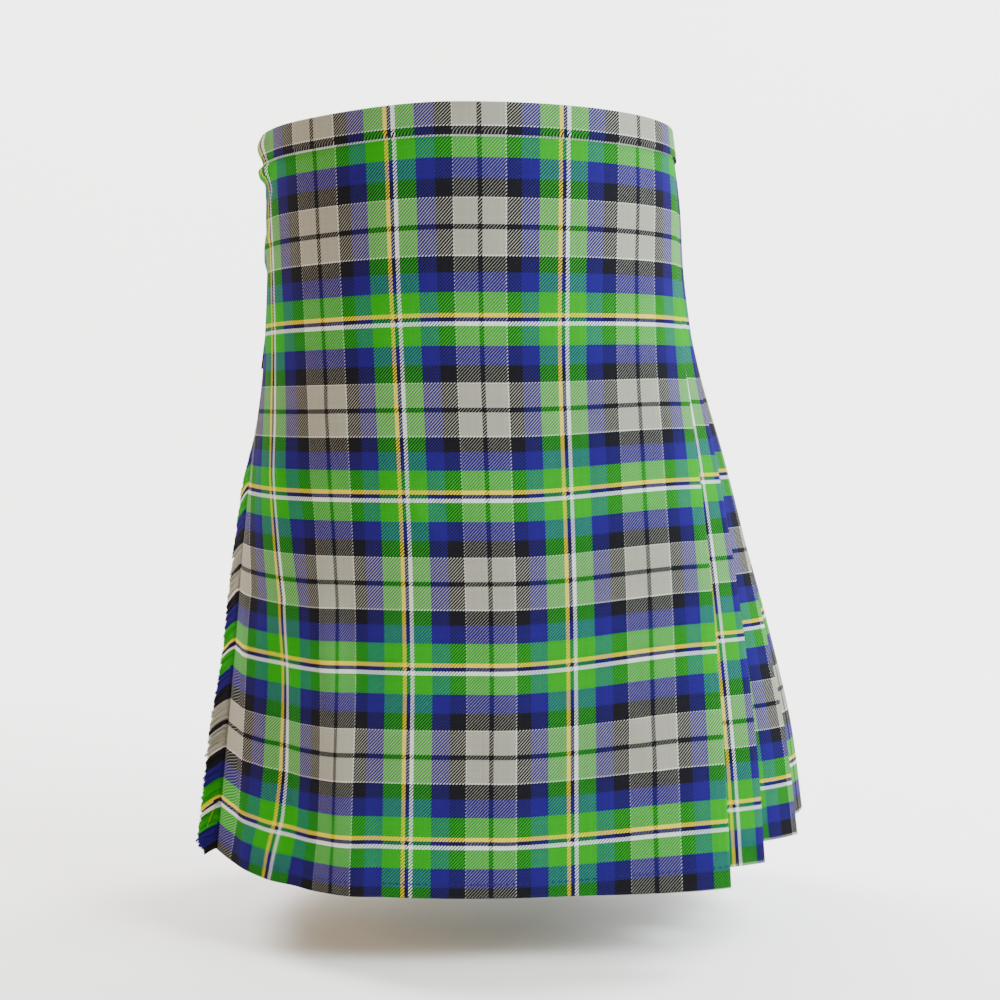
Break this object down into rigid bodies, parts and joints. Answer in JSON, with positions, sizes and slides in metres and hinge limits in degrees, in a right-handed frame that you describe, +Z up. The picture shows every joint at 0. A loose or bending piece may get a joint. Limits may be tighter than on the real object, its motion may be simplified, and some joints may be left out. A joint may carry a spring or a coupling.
{
  "type": "scottish kilt",
  "caption": "Scottish kilt in green, blue, black and grey tartan with yellow and white lines, in its worn shape: flat front apron with a frayed left edge, knife pleats and buckled side straps",
  "frame": {"origin": "middle of the waist, 12 mm below the waistband's top edge at the front", "axes": "+Z up towards the waistband, -Y to the front where the over apron lies, +X to the viewer's right as seen from the front"},
  "size_m": [0.5216, 0.3381, 0.6101],
  "materials": {
    "tartan_cloth": "matte wool twill",
    "black_leather": "satin",
    "buckle_metal": "polished"
  },
  "bodies": {
    "root": {"over_apron": "tartan_cloth", "pleats_right": "tartan_cloth", "pleats_left": "tartan_cloth", "under_apron": "tartan_cloth", "waistband": "tartan_cloth", "under_waistband": "tartan_cloth", "apron_fringe": "tartan_cloth", "strap_upper": "black_leather", "strap_lower": "black_leather", "strap_under": "black_leather", "tab_upper": "black_leather", "tab_lower": "black_leather", "tab_under": "black_leather", "buckle_upper": "buckle_metal", "buckle_lower": "buckle_metal", "buckle_under": "buckle_metal", "tongue_upper": "buckle_metal", "tongue_lower": "buckle_metal", "tongue_under": "buckle_metal"}
  },
  "joints": []
}
